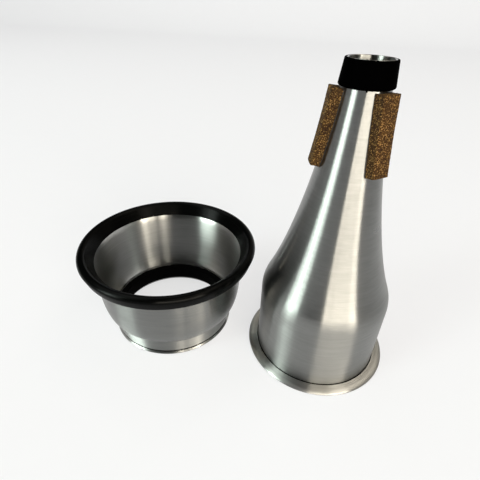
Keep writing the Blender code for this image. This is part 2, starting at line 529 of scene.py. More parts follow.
@dataclass(frozen=True)
class SpunMetal:
    """Aluminium with the fine rings that spinning and polishing cloth leave."""

    name: str
    axis_x: float
    colour: Colour = BARE_METAL
    roughness: float = 0.285
    groove_tilt: float = 0.3
    waver: float = 0.0075
    dull_height: float = 0.0
    dull_share: float = 0.13
    dull_edge: float = 0.4
    # upper_painted_shade darkens the colour above dull_height, as painted shade.
    upper_painted_shade: float = 1.0
    coarse_share: float = 0.05
    broad_share: float = 0.8
    fine: Marks = Marks(0.09, 3.0, 0.0)
    coarse: Marks = Marks(1.1, 2.5, 3.0)
    broad: Marks = Marks(9.0, 1.2, 1.0)
    smudges: Noise = (45.0, 3.0)
    coarse_tones: Range = (0.92, 1.04)
    smudge_tones: Range = (-0.03, 0.03)
    broad_roughness: Range = (-0.01, 0.02)
    smudge_roughness: Range = (-0.01, 0.02)

    def leaned(self, surface: TurnedSurface, coarse: Feed, broad: Feed) -> NodeSocket:
        """Lean the normal by the grooves, and a little round the axis.

        Args:
            surface: the turned surface.
            coarse: its coarse marks.
            broad: its broad marks.

        Returns:
            The normal.
        """
        bench = surface.bench
        outwards = bench.add("NewGeometry").outputs["Normal"]
        upwards = bench.vector("CROSS_PRODUCT", outwards, surface.around)
        tilt = bench.centred(surface.draw(self.fine), coarse, self.coarse_share)
        sway = bench.centred(coarse, broad, self.broad_share)
        grooves = bench.vector("SCALE", upwards, bench.times(tilt, self.groove_tilt))
        shove = bench.vector("SCALE", surface.around, bench.times(sway, self.waver))
        lean = bench.vector("ADD", outwards, bench.vector("ADD", grooves, shove))
        return bench.vector("NORMALIZE", lean)

    def material(self) -> Material:
        """Mix the finish.

        Returns:
            The finish.
        """
        bench = Bench(self.name)
        surface = TurnedSurface(bench, self.axis_x)
        coarse = surface.draw(self.coarse)
        broad = surface.draw(self.broad)
        smudge = bench.noise(bench.place(), *self.smudges)
        tone = bench.vary(coarse, *self.coarse_tones)
        tone = bench.plus(tone, bench.vary(smudge, *self.smudge_tones))
        rough = bench.vary(broad, *(self.roughness + part for part in self.broad_roughness))
        rough = bench.plus(rough, bench.vary(smudge, *self.smudge_roughness))
        # Above dull_height the colour is darkened as painted shade; below it the roughness rises by
        # dull_share.
        if self.dull_height:
            height = bench.height(bench.place())
            edge = [(self.dull_height + side) * MM for side in (-self.dull_edge, self.dull_edge)]
            rough = bench.plus(rough, bench.span(height, *edge, self.dull_share, 0.0))
            tone = bench.times(tone, bench.span(height, *edge, 1.0, self.upper_painted_shade))
        return bench.set_shader(
            Base_Color=bench.vector("SCALE", self.colour, tone),
            Metallic=1.0,
            Roughness=rough,
            Anisotropic=1.0,
            Anisotropic_Rotation=QUARTER_TURN,
            Tangent=surface.around,
            Normal=self.leaned(surface, coarse, broad),
        )


@dataclass(frozen=True)
class TurnedRubber:
    """Black rubber, half gloss, with faint turning marks and a little dust."""

    name: str
    axis_x: float
    colour: Colour = (0.0008, 0.0009, 0.0009)
    dust_colour: Colour = (0.0035, 0.0035, 0.0034)
    rings: Marks = Marks(0.5, 2.0, 3.0)
    dust: Noise = (2500.0, 2.0)
    dust_shows: Span = (0.55, 0.8, 0.0, 0.5)
    roughness: Range = (0.18, 0.28)
    ring_share: float = 0.8
    dust_share: float = 0.4
    relief: float = 0.01

    def material(self) -> Material:
        """Mix the finish.

        Returns:
            The finish.
        """
        bench = Bench(self.name)
        surface = TurnedSurface(bench, self.axis_x)
        rings = surface.draw(self.rings)
        dust = bench.noise(bench.place(), *self.dust)
        relief = bench.mixed(rings, self.ring_share, dust, self.dust_share)
        return bench.set_shader(
            Base_Color=bench.flecked(dust, self.dust_shows, self.colour, self.dust_colour),
            Roughness=bench.vary(rings, *self.roughness),
            Specular_IOR_Level=0.045,
            Anisotropic=0.8,
            Anisotropic_Rotation=QUARTER_TURN,
            Tangent=surface.around,
            Normal=bench.bump(relief, self.relief),
        )


@dataclass(frozen=True)
class BlackFelt:
    """Short black felt, its fibres lying every way."""

    name: str = "black_felt"
    colour: Colour = (0.0010, 0.0010, 0.0011)
    tip_colour: Colour = (0.0045, 0.0045, 0.005)
    tufts: Noise = (900.0, 4.0)
    fibres: Noise = (5200.0, 3.0)
    fibre_height: float = 0.35
    tips_show: Span = (0.55, 0.8, 0.0, 0.7)
    tuft_share: float = 0.6
    fibre_share: float = 0.5
    relief: float = 0.12

    def material(self) -> Material:
        """Mix the finish.

        Returns:
            The finish.
        """
        bench = Bench(self.name)
        tufts = bench.noise(bench.place(), *self.tufts)
        fibres = bench.noise(bench.place(lengthwise=self.fibre_height), *self.fibres)
        relief = bench.mixed(tufts, self.tuft_share, fibres, self.fibre_share)
        return bench.set_shader(
            Base_Color=bench.flecked(fibres, self.tips_show, self.colour, self.tip_colour),
            Roughness=0.95,
            Specular_IOR_Level=0.04,
            Sheen_Weight=0.01,
            Sheen_Roughness=0.4,
            Normal=bench.bump(relief, self.relief),
        )


@dataclass(frozen=True)
class Speckled:
    """A dark finish with paler specks and a fine grain."""

    name: str
    colour: Colour
    speck_colour: Colour
    specks: Noise
    specks_show: Span
    grain: Noise
    relief: float
    roughness: Range
    specular: float

    def material(self) -> Material:
        """Mix the finish.

        Returns:
            The finish.
        """
        bench = Bench(self.name)
        specks = bench.noise(bench.place(), *self.specks)
        grain = bench.noise(bench.place(), *self.grain)
        return bench.set_shader(
            Base_Color=bench.flecked(specks, self.specks_show, self.colour, self.speck_colour),
            Roughness=bench.vary(specks, *self.roughness),
            Specular_IOR_Level=self.specular,
            Normal=bench.bump(grain, self.relief),
        )


@dataclass(frozen=True)
class SleeveVinyl(Speckled):
    """Matt black vinyl, very finely pebbled and a little scuffed."""

    name: str = "sleeve_vinyl"
    colour: Colour = (0.0001, 0.0001, 0.0001)
    speck_colour: Colour = (0.0004, 0.0004, 0.0004)
    specks: Noise = (260.0, 4.0)
    specks_show: Span = (0.55, 0.75, 0.0, 0.6)
    grain: Noise = (3200.0, 2.0)
    relief: float = 0.03
    roughness: Range = (0.6, 0.75)
    specular: float = 0.003


@dataclass(frozen=True)
class ContactGlue(Speckled):
    """The dark line of contact glue round a cork pad."""

    name: str = "contact_glue"
    colour: Colour = (0.006, 0.004, 0.0025)
    speck_colour: Colour = (0.016, 0.009, 0.004)
    specks: Noise = (1400.0, 3.0)
    specks_show: Span = (0.4, 0.7, 0.0, 0.5)
    grain: Noise = (1400.0, 3.0)
    relief: float = 0.05
    roughness: Range = (0.5, 0.7)
    specular: float = 0.5


@dataclass(frozen=True)
class CreviceShade(Speckled):
    """Painted shade: the black put on the faces of a crevice, where shade falls."""

    name: str = "painted_crevice_shade"
    colour: Colour = (0.002, 0.002, 0.002)
    speck_colour: Colour = (0.006, 0.006, 0.006)
    specks: Noise = (1800.0, 3.0)
    specks_show: Span = (0.4, 0.7, 0.0, 0.5)
    grain: Noise = (1800.0, 3.0)
    relief: float = 0.03
    roughness: Range = (0.8, 0.8)
    specular: float = 0.1


@dataclass(frozen=True)
class PressedCork:
    """Sheet cork of small pressed granules: brown, with golden and dark grains."""

    name: str = "pressed_cork"
    granule: float = 1.1
    crumb: float = 0.34
    # shade darkens the whole colour; below 1 it is painted shade, as on the pads' sides.
    shade: float = 1.0
    browns: Stops = (
        (0.12, (0.0145, 0.0056, 0.0011)),
        (0.38, (0.033, 0.0142, 0.0032)),
        (0.62, (0.055, 0.0252, 0.0058)),
        (0.90, (0.095, 0.046, 0.0113)),
    )
    gold_colour: Colour = (0.37, 0.205, 0.062)
    dark_colour: Colour = (0.014, 0.006, 0.002)
    seam_colour: Colour = (0.022, 0.008, 0.002)
    dust_colour: Colour = (0.045, 0.022, 0.006)
    gold_shows: Span = (0.78, 0.84, 0.0, 0.9)
    dark_shows: Span = (0.80, 0.86, 0.0, 0.85)
    seams_show: Span = (0.0, 0.08, 0.45, 0.0)
    dust_shows: Span = (0.35, 0.7, 0.0, 0.3)
    seams_sink: Span = (0.0, 0.14, -0.7, 0.0)
    granule_share: float = 0.45
    crumb_share: float = 0.55
    dark_sinks: float = -0.9
    bends: Noise = (1500.0, 2.0)
    bend: float = 0.4
    grain: Noise = (2600.0, 3.0)
    clouds: Noise = (160.0, 2.0)
    cloud_tones: Range = (0.82, 1.12)
    roughness: Range = (0.62, 0.85)
    relief: float = 0.1

    def cells(self, bench: Bench, place: Feed, width: float, feature: str = "F1") -> Node:
        """Break a surface into granules of a width in millimetres."""
        return bench.add("TexVoronoi", place, 1.0 / (width * MM), feature=feature)

    def material(self) -> Material:
        """Mix the finish.

        Returns:
            The finish.
        """
        bench = Bench(self.name)
        place = bench.place()
        bend = bench.vector("SCALE", bench.noise(place, *self.bends), self.bend * MM)
        bent = bench.vector("ADD", place, bend)
        big, small = (
            bench.add("SeparateColor", self.cells(bench, bent, width).outputs["Color"]).outputs
            for width in (self.granule, self.crumb)
        )
        seams = self.cells(bench, bent, self.crumb, "DISTANCE_TO_EDGE").outputs["Distance"]
        grain = bench.noise(place, *self.grain)
        pick = bench.mixed(big["Red"], self.granule_share, small["Red"], self.crumb_share)
        dark = bench.span(small["Blue"], *self.dark_shows)
        colour = bench.tint(pick, self.browns)
        for share, grains in (
            (bench.span(small["Green"], *self.gold_shows), self.gold_colour),
            (dark, self.dark_colour),
            (bench.span(seams, *self.seams_show), self.seam_colour),
            (bench.span(grain, *self.dust_shows), self.dust_colour),
        ):
            colour = bench.blend(share, colour, grains)
        tone = bench.vary(bench.noise(place, *self.clouds), *self.cloud_tones)
        pits = bench.plus(bench.times(dark, self.dark_sinks), bench.span(seams, *self.seams_sink))
        return bench.set_shader(
            Base_Color=bench.vector("SCALE", colour, bench.times(tone, self.shade)),
            Roughness=bench.vary(grain, *self.roughness),
            Specular_IOR_Level=0.12,
            Normal=bench.bump(bench.plus(pits, grain), self.relief),
        )


# ---------------------------------------------------------------- the mute


@dataclass(frozen=True)
class Taper:
    """The run of the mute's wall: barrel, rounded shoulder and the long taper to the mouth."""

    barrel_radius: float = 37.2
    foot: float = 2.7
    shoulder_start: float = 43.0
    shoulder_round: float = 23.7
    shoulder_turn: float = math.radians(24.4)
    handle_low: float = 28.8
    handle_high: float = 40.0
    end_lean: float = math.radians(3.5)
    mouth_radius: float = 10.2
    height: float = 170.0
    wall: float = 0.9
    barrel_rings: tuple[float, ...] = (0.0, 0.25, 10.0, 25.0)
    shoulder_steps: int = 12
    taper_steps: int = 44
    search_steps: int = 36

    def shoulder(self) -> list[Vector]:
        """Lay the rounded shoulder, from the barrel to the taper."""
        centre = Vector((self.barrel_radius - self.shoulder_round, self.shoulder_start))
        return arc(centre, self.shoulder_round, 0.0, self.shoulder_turn, self.shoulder_steps)

    def curve(self) -> tuple[Vector, Vector, Vector, Vector]:
        """Give the taper's curve.

        Returns:
            Its start, its two handles and its end, as bezier takes them.
        """
        start = self.shoulder()[-1]
        leave = Vector((-math.sin(self.shoulder_turn), math.cos(self.shoulder_turn)))
        end = Vector((self.mouth_radius, self.height))
        arrive = Vector((-math.sin(self.end_lean), math.cos(self.end_lean)))
        return start, start + leave * self.handle_low, end - arrive * self.handle_high, end

    def outer(self) -> list[Vector]:
        """Lay the wall's outer side from foot to mouth.

        Returns:
            The points, as (radius, height).
        """
        curve = self.curve()
        run = [bezier(curve, step / self.taper_steps) for step in range(1, self.taper_steps + 1)]
        barrel = [Vector((self.barrel_radius, self.foot + rise)) for rise in self.barrel_rings]
        return barrel + self.shoulder() + run

    def radius_at(self, height: float) -> float:
        """Find the outer radius on the taper.

        Args:
            height: the height, in millimetres.

        Returns:
            The radius, in millimetres.
        """
        curve = self.curve()
        low, high = 0.0, 1.0
        for _ in range(self.search_steps):
            middle = (low + high) / 2.0
            if bezier(curve, middle).y < height:
                low = middle
            else:
                high = middle
        return bezier(curve, low).x


@dataclass
class MuteBody:
    """The hollow spun body."""

    taper: Taper
    lathe: Lathe
    finish: SpunMetal
    inner_finish: SpunMetal
    lip_steps: int = 6

    def build(self) -> Object:
        """Spin the body with a rounded lip and a squared foot.

        Returns:
            The body.
        """
        taper = self.taper
        outer = taper.outer()
        inner = inner_side(outer, taper.wall)
        half = taper.wall / 2.0
        outer[-1].y -= half
        inner[-1].y -= half
        lip_centre = (outer[-1] + inner[-1]) / 2.0
        lip = arc(lip_centre, half, 0.0, math.pi, self.lip_steps)[1:-1]
        piece = self.lathe.turn("mute_body", outer + lip + inner[::-1])
        hand_over(piece, Body.MUTE, self.finish.material(), "body_shell")
        finish_inside(piece, self.lathe.axis_x, self.inner_finish.material())
        return piece


@dataclass
class BaseCap:
    """The cap under the barrel: a floor, a flat flange with a rolled edge, and a spigot."""

    taper: Taper
    lathe: Lathe
    finish: SpunMetal
    crevice_shade: CreviceShade
    flange_radius: float = 43.2
    flange_top: float = 2.4
    land_end: float = 40.0
    floor_rings: tuple[float, ...] = (0.0, 20.0, 38.0)
    under_round: float = 0.9
    under_steps: int = 8
    roll_steps: int = 16
    turned_rings: tuple[float, ...] = (39.7, 38.7)
    ring_width: float = 0.4
    ring_depth: float = 0.09
    crevice_end: float = 37.6
    crevice_depth: float = 1.0
    crevice_edge: float = 0.15
    crevice_shade_margin: float = 0.02
    crevice_shade_low: float = 1.3
    floor: float = 1.2
    spigot_top: float = 9.0
    clearance: float = 0.3

    def build(self) -> Object:
        """Turn the cap.

        Returns:
            The cap.
        """
        spigot = self.taper.barrel_radius - self.taper.wall - self.clearance
        hollow = spigot - self.taper.wall
        top, half_ring = self.flange_top, self.ring_width / 2.0
        under = Vector((self.flange_radius - self.under_round, self.under_round))
        roll = Vector((self.flange_radius - self.land_end, top - self.under_round))
        outline = [Vector((ring, 0.0)) for ring in self.floor_rings]
        outline += arc(under, self.under_round, -math.pi / 2.0, 0.0, self.under_steps)
        for step in range(1, self.roll_steps + 1):
            turn = math.pi / 2.0 * step / self.roll_steps
            reach = Vector((math.cos(turn) * roll.x, math.sin(turn) * roll.y))
            outline.append(Vector((self.land_end, self.under_round)) + reach)
        for ring in self.turned_rings:
            outline += [
                Vector((ring + half_ring, top)),
                Vector((ring, top - self.ring_depth)),
                Vector((ring - half_ring, top)),
            ]
        outline += [
            Vector((self.crevice_end + self.crevice_edge, top)),
            Vector((self.crevice_end, top - self.crevice_edge)),
            Vector((self.crevice_end, top - self.crevice_depth)),
            Vector((spigot, top - self.crevice_depth)),
            Vector((spigot, self.spigot_top)),
            Vector((hollow, self.spigot_top)),
            Vector((hollow, self.floor)),
            Vector((0.0, self.floor)),
        ]
        piece = self.lathe.turn("base_cap_turned", outline)
        hand_over(piece, Body.MUTE, self.finish.material(), "base_cap")
        # The crevice between the flange and the spigot is painted black, as painted shade.
        radii = (spigot, self.crevice_end + self.crevice_shade_margin)
        heights = (self.crevice_shade_low, top)
        paint_crevice_shade(piece, self.lathe.axis_x, self.crevice_shade.material(), radii, heights)
        return piece


@dataclass
class MouthSleeve:
    """The black sleeve round the mouth."""

    taper: Taper
    lathe: Lathe
    finish: SleeveVinyl
    low: float = 158.8
    high: float = 169.85
    radius_low: float = 12.3
    radius_high: float = 11.1
    edge_round: float = 0.8
    high_edge_round: float = 0.48
    edge_steps: int = 6
    bore_steps: int = 6
    clearance: float = 0.05
    nib_azimuth: float = math.radians(-92.0)
    nib_radius: float = 0.45
    nib_inset: float = 0.4
    nib_drop: float = 0.1

    def nib(self, sleeve: Object) -> None:
        """Leave a small nib of waste under the sleeve's front edge.

        Args:
            sleeve: the sleeve, which takes the nib in.
        """
        deselect_everything()
        reach = self.radius_low - self.nib_inset
        spot = Vector((math.cos(self.nib_azimuth) * reach, math.sin(self.nib_azimuth) * reach, 0.0))
        spot.z = self.low - self.nib_drop
        bpy.ops.mesh.primitive_uv_sphere_add(
            segments=16, ring_count=10, radius=self.nib_radius * MM, location=spot * MM
        )
        bpy.ops.object.transform_apply(location=True, rotation=False, scale=False)
        bpy.ops.object.shade_smooth()
        sleeve.select_set(True)
        bpy.context.view_layer.objects.active = sleeve
        bpy.ops.object.join()

    def build(self) -> Object:
        """Turn the sleeve with soft edges.

        Returns:
            The sleeve.
        """
        bore = []
        for step in range(self.bore_steps + 1):
            height = self.high + (self.low - self.high) * step / self.bore_steps
            bore.append((Vector((self.taper.radius_at(height) + self.clearance, height)), 0.0))
        edges = [
            (Vector((self.radius_low, self.low)), self.edge_round),
            (Vector((self.radius_high, self.high)), self.high_edge_round),
        ]
        piece = self.lathe.turn("mouth_sleeve_soft", rounded(edges + bore, self.edge_steps))
        self.nib(piece)
        hand_over(piece, Body.MUTE, self.finish.material(), "mouth_sleeve")
        return piece


@dataclass
class CorkPads:
    """Three strips of pressed cork, hollowed to sit on the taper, and their glue lines."""

    taper: Taper
    cork: PressedCork
    glue: ContactGlue
    azimuths: tuple[float, ...] = (190.6, 310.6, 70.6)
    low: float = 123.1
    high: float = 158.0
    half_width: float = 4.75
    thickness_low: float = 4.3
    thickness_high: float = 4.9
    crown: float = 0.5
    clearance: float = 0.3
    edge_round: float = 0.6
    edge_pull: float = 0.35
    heart: Triple = (0.9, 0.6, 0.7)
    cuts: tuple[int, int, int] = (17, 37, 139)
    grains: tuple[tuple[str, float, float], ...] = (
        ("granules", 0.8, 0.14),
        ("crumbs", 0.4, 0.07),
        ("waves", 5.0, 0.12),
    )
    grain_level: float = 0.55
    side_shade: float = 0.75
    side_lean: float = 0.75
    glue_low: float = 0.055
    glue_high: float = 0.008
    glue_lip: float = 0.018
    glue_end: float = 0.0045
    glue_cuts: tuple[int, int, int] = (1, 24, 60)
    glue_waves: Range = (41.0, 17.0)

    def point(self, along: float, across: float, depth: float) -> Vector:
        """Find a point of the pad that stands towards +X.

        Args:
            along: from 0 at the low end to 1 at the high end.
            across: from -1 to 1.
            depth: from 0 on the taper to 1 on the outside.

        Returns:
            The point, in millimetres.
        """
        height = self.low + (self.high - self.low) * along
        seat = self.taper.radius_at(height) + self.clearance
        rise = self.taper.radius_at(height + 0.5) - self.taper.radius_at(height - 0.5)
        slope = Vector((rise, 1.0)).normalized()
        offset = across * self.half_width
        near = Vector((math.sqrt(seat ** 2 - offset ** 2), offset, height))
        thickness = self.thickness_low + (self.thickness_high - self.thickness_low) * along
        thickness += self.crown * (1.0 - across ** 2)
        reach = math.sqrt(seat ** 2 - self.half_width ** 2) + slope.y * thickness
        far = Vector((reach, offset, height - slope.x * thickness))
        return near.lerp(far, depth)

    def block(self, name: str, cuts: tuple[int, int, int]) -> Object:
        """Divide a block evenly.

        Args:
            name: the piece's name.
            cuts: how many cuts go through its depth, its width and its length.

        Returns:
            The block, one unit each way.
        """
        deselect_everything()
        bpy.ops.mesh.primitive_cube_add(size=1.0, location=(0.5, 0.5, 0.5))
        block = new_piece(name)
        bpy.ops.object.transform_apply(location=True, rotation=False, scale=False)
        for axis, number in enumerate(cuts):
            select_edges(block, lambda first, last: abs(last[axis] - first[axis]) > 0.9)
            bpy.ops.mesh.subdivide(number_cuts=number)
            bpy.ops.object.mode_set(mode="OBJECT")
        return block

    def strip(self) -> Object:
        """Cut one strip, soften its edges and raise its granules.

        Returns:
            The strip, towards +X.
        """
        strip = self.block("cork_strip", self.cuts)
        for corner in strip.data.vertices:
            depth, across, along = corner.co
            corner.co = self.softened(along, across * 2.0 - 1.0, depth) * MM
        for name, width, depth in self.grains:
            grain = bpy.data.textures.new(name, "CLOUDS")
            grain.noise_scale = width * MM
            grain.noise_depth = 1
            relief = strip.modifiers.new(name, "DISPLACE")
            relief.texture = grain
            relief.texture_coords = "LOCAL"
            relief.strength = depth * MM
            relief.mid_level = self.grain_level
            bpy.context.view_layer.objects.active = strip
            bpy.ops.object.modifier_apply(modifier=name)
        return strip

    def softened(self, along: float, across: float, depth: float) -> Vector:
        """Find a point of the pad, drawn inwards where it is on an edge, so that edges are round.

        Args:
            along: its share of the length.
            across: its place across, from -1 to 1.
            depth: its share of the depth.

        Returns:
            The point, in millimetres.
        """
        spot = self.point(along, across, depth)
        to_side = (1.0 - abs(across)) * self.half_width
        to_end = (0.5 - abs(along - 0.5)) * (self.high - self.low)
        to_top = (1.0 - depth) * self.thickness_low
        ways = (to_side, to_end, to_top)
        _, middle, nearest = sorted(max(0.0, 1.0 - way / self.edge_round) for way in ways)
        pull = self.edge_round * self.edge_pull * middle ** 2 * nearest ** 2
        to_heart = (along - 0.5, across, depth)
        inner_along, *inner = (place * share for place, share in zip(to_heart, self.heart))
        heart = self.point(0.5 + inner_along, *inner)
        return spot + (heart - spot).normalized() * pull

    def glue_film(self) -> Object:
        """Lay the film of glue under a strip, squeezed out a little round its edges.

        Returns:
            The film, towards +X.
        """
        film = self.block("cork_glue", self.glue_cuts)
        for corner in film.data.vertices:
            depth, across, along = corner.co
            quick, slow = (math.sin(along * wave) for wave in self.glue_waves)
            squeeze = 1.0 + self.glue_lip * (1.0 + 0.5 * quick * slow)
            lift = -self.glue_low + (self.glue_low - self.glue_high) * depth
            reach = along * (1.0 + self.glue_end) - self.glue_end * 0.5
            corner.co = self.point(reach, (across * 2.0 - 1.0) * squeeze, lift) * MM
        return film

    def set_round(self, master: Object, finishes: list[Material], node: str | None) -> list[Object]:
        """Copy a master piece to each pad's place and remove the master.

        Args:
            master: the piece, towards +X.
            finishes: its finish, and that of its sides if it has one, a darker copy that paints
                shade.
            node: the common beginning of the CAD nodes that it replaces, if any.

        Returns:
            The copies.
        """
        copies = []
        for number, azimuth in enumerate(self.azimuths, start=1):
            piece = master.copy()
            piece.data = master.data.copy()
            piece.name = f"{master.name}_{number}"
            piece.data.name = piece.name
            bpy.context.scene.collection.objects.link(piece)
            piece.rotation_euler.z = math.radians(azimuth)
            sides = [abs(face.normal.y) > self.side_lean for face in piece.data.polygons]
            settle(piece)
            stands_for = f"{node}_{number}" if node else None
            hand_over(piece, Body.MUTE, finishes[0], stands_for)
            # The side faces take the second finish, the darker copy with painted shade.
            if len(finishes) > 1:
                piece.data.materials.append(finishes[1])
                for face, is_side in zip(piece.data.polygons, sides):
                    face.material_index = int(is_side)
            copies.append(piece)
        bpy.data.objects.remove(master, do_unlink=True)
        return copies

    def build(self) -> list[Object]:
        """Cut the strips, set them round the taper and glue them on.

        Returns:
            The pads and their glue.
        """
        # The pads' sides take a darker copy of the cork, painted shade.
        shaded_side_cork = PressedCork(name="cork_painted_side_shade", shade=self.side_shade)
        finishes = [self.cork.material(), shaded_side_cork.material()]
        pads = self.set_round(self.strip(), finishes, "cork_pad")
        return pads + self.set_round(self.glue_film(), [self.glue.material()], None)


# ---------------------------------------------------------------- the cup


@dataclass(frozen=True)
class CupWall:
    """The run of the cup's wall: foot bead, groove, collar, bowl and flared lip."""

    foot_radius: float = 38.1
    foot_land: float = 0.3
    bead_bulge: float = 1.05
    bead_height: float = 2.85
    bead_steps: int = 12
    groove_low_edge: float = 0.1
    groove_high_edge: float = 0.45
    collar_low_radius: float = 38.5
    collar_low: float = 3.8
    collar_high_radius: float = 39.9
    collar_high: float = 13.3
    collar_middle_radius: float = 39.2
    bowl_turn: float = math.radians(50.0)
    handle_low: float = 6.5
    handle_high: float = 20.0
    bowl_radius: float = 46.0
    bowl_steps: int = 30
    flare_start: float = 49.0
    flare_round: float = 10.0
    flare_turn: float = math.radians(45.0)
    flare_steps: int = 12
    wall: float = 0.9

    def flare_centre(self) -> Vector:
        """Give the centre of the flare's rounding."""
        return Vector((self.bowl_radius + self.flare_round, self.flare_start))

    def outer(self, groove_depth: float) -> list[Vector]:
        """Lay the wall's outer side from foot to lip.

        Args:
            groove_depth: how deep the groove above the foot bead is cut, in millimetres.

        Returns:
            The points, as (radius, height).
        """
        points = [Vector((self.foot_radius, 0.0))]
        for step in range(self.bead_steps + 1):
            share = step / self.bead_steps
            bulge = self.bead_bulge * math.sin(math.pi * share)
            rise = self.foot_land + (self.bead_height - self.foot_land) * share
            points.append(Vector((self.foot_radius + bulge, rise)))
        groove = self.foot_radius - groove_depth
        points += [
            Vector((groove, self.bead_height + self.groove_low_edge)),
            Vector((groove, self.collar_low - self.groove_high_edge)),
            Vector((self.collar_low_radius, self.collar_low)),
            Vector((self.collar_middle_radius, (self.collar_low + self.collar_high) / 2.0)),
        ]
        start = Vector((self.collar_high_radius, self.collar_high))
        leave = Vector((math.sin(self.bowl_turn), math.cos(self.bowl_turn)))
        end = Vector((self.bowl_radius, self.flare_start))
        curve = (start, start + leave * self.handle_low, end - Vector((0.0, self.handle_high)), end)
        points += [bezier(curve, step / self.bowl_steps) for step in range(self.bowl_steps)]
        lip = math.pi - self.flare_turn
        return points + arc(self.flare_centre(), self.flare_round, math.pi, lip, self.flare_steps)


@dataclass
class CupShell:
    """The spun cup."""

    wall: CupWall
    lathe: Lathe
    finish: SpunMetal
    inner_finish: SpunMetal
    crevice_shade: CreviceShade
    groove_depth: float = 0.5
    crevice_shade_reach: float = 0.3
    crevice_shade_gap: float = 0.2
    crevice_shade_margin: float = 0.1

    def build(self) -> Object:
        """Spin the cup.

        Returns:
            The cup.
        """
        inner = inner_side(self.wall.outer(0.0), self.wall.wall)
        piece = self.lathe.turn("cup_spun", self.wall.outer(self.groove_depth) + inner[::-1])
        hand_over(piece, Body.CUP, self.finish.material(), "cup_shell")
        finish_inside(piece, self.lathe.axis_x, self.inner_finish.material())
        wall = self.wall
        groove = wall.foot_radius - self.groove_depth
        radii = (groove - self.crevice_shade_margin, wall.collar_high_radius)
        heights = (wall.bead_height - self.crevice_shade_reach, wall.collar_low - self.crevice_shade_gap)
        # The groove above the foot bead is painted black, as painted shade.
        paint_crevice_shade(piece, self.lathe.axis_x, self.crevice_shade.material(), radii, heights)
        return piece


@dataclass
class CollarLining:
    """The felt band inside the collar."""

    wall: CupWall
    lathe: Lathe
    finish: BlackFelt
    bore: float = 34.3
    low: float = 3.0
    high: float = 12.0
    edge_round: float = 0.7
    edge_steps: int = 6
    clearance: float = 0.1

    def build(self) -> Object:
        """Turn the band.

        Returns:
            The band.
        """
        wall = self.wall
        collar_rise = wall.collar_high - wall.collar_low
        slant = (wall.collar_high_radius - wall.collar_low_radius) / collar_rise
        back_low = wall.foot_radius - wall.wall - self.clearance
        back_high = wall.collar_low_radius - wall.wall - self.clearance
        back_high += slant * (self.high - wall.collar_low)
        edges = [
            (Vector((back_low, self.low)), 0.0),
            (Vector((back_low, wall.collar_low + wall.wall)), 0.0),
            (Vector((back_high, self.high)), 0.0),
            (Vector((self.bore, self.high)), self.edge_round),
            (Vector((self.bore, self.low)), self.edge_round),
        ]
        piece = self.lathe.turn("collar_felt", rounded(edges, self.edge_steps))
        hand_over(piece, Body.CUP, self.finish.material(), "collar_lining")
        return piece


@dataclass
class RimRing:
    """The rubber ring pressed over the cup's lip."""

    wall: CupWall
    lathe: Lathe
    finish: TurnedRubber
    crest: Vector = field(default_factory=lambda: Vector((51.8, 58.1)))
    crest_round: float = 2.8
    inner_foot: Vector = field(default_factory=lambda: Vector((45.4, 53.7)))
    bottom: Vector = field(default_factory=lambda: Vector((52.9, 52.7)))
    corner: float = 0.6
    slot_drop: float = 0.3
    clearance: float = 0.15
    extra_turn: float = math.radians(2.0)
    crest_steps: int = 28
    corner_steps: int = 5
    slot_steps: int = 8

    def build(self) -> Object:
        """Turn the ring.

        Returns:
            The ring.
        """
        wall, centre = self.wall, self.wall.flare_centre()
        to_crest = self.crest - self.inner_foot
        lean = math.atan2(to_crest.y, to_crest.x)
        touch = math.pi + lean - math.acos(self.crest_round / to_crest.length)
        corner_centre = self.bottom + Vector((-self.corner, self.corner))
        slot_end = math.pi - wall.flare_turn - self.extra_turn
        outer = wall.flare_round - self.clearance
        inner = wall.flare_round + wall.wall + self.clearance
        inner_foot = self.inner_foot.y - self.slot_drop
        outer_start = math.pi - math.asin((self.bottom.y - centre.y) / outer)
        inner_start = math.pi - math.asin((inner_foot - centre.y) / inner)
        outline = [self.inner_foot]
        outline += arc(self.crest, self.crest_round, touch, 0.0, self.crest_steps)
        outline += arc(corner_centre, self.corner, 0.0, -math.pi / 2.0, self.corner_steps)
        outline += arc(centre, outer, outer_start, slot_end, self.slot_steps)
        outline += arc(centre, inner, slot_end, inner_start, self.slot_steps)
        piece = self.lathe.turn("rim_ring_rubber", outline)
        hand_over(piece, Body.CUP, self.finish.material(), "cup_rim_ring")
        return piece


# ---------------------------------------------------------------- the studio


COOL: Colour = (0.94, 1.07, 0.99)
WARM: Colour = (1.115, 1.02, 0.865)
PLAIN: Colour = (1.03, 1.0, 0.97)


class Falls(Enum):
    """What a lamp's light falls on."""

    ALL_ELSE = "all_else"
    CAP = "cap"
    CUP = "cup"


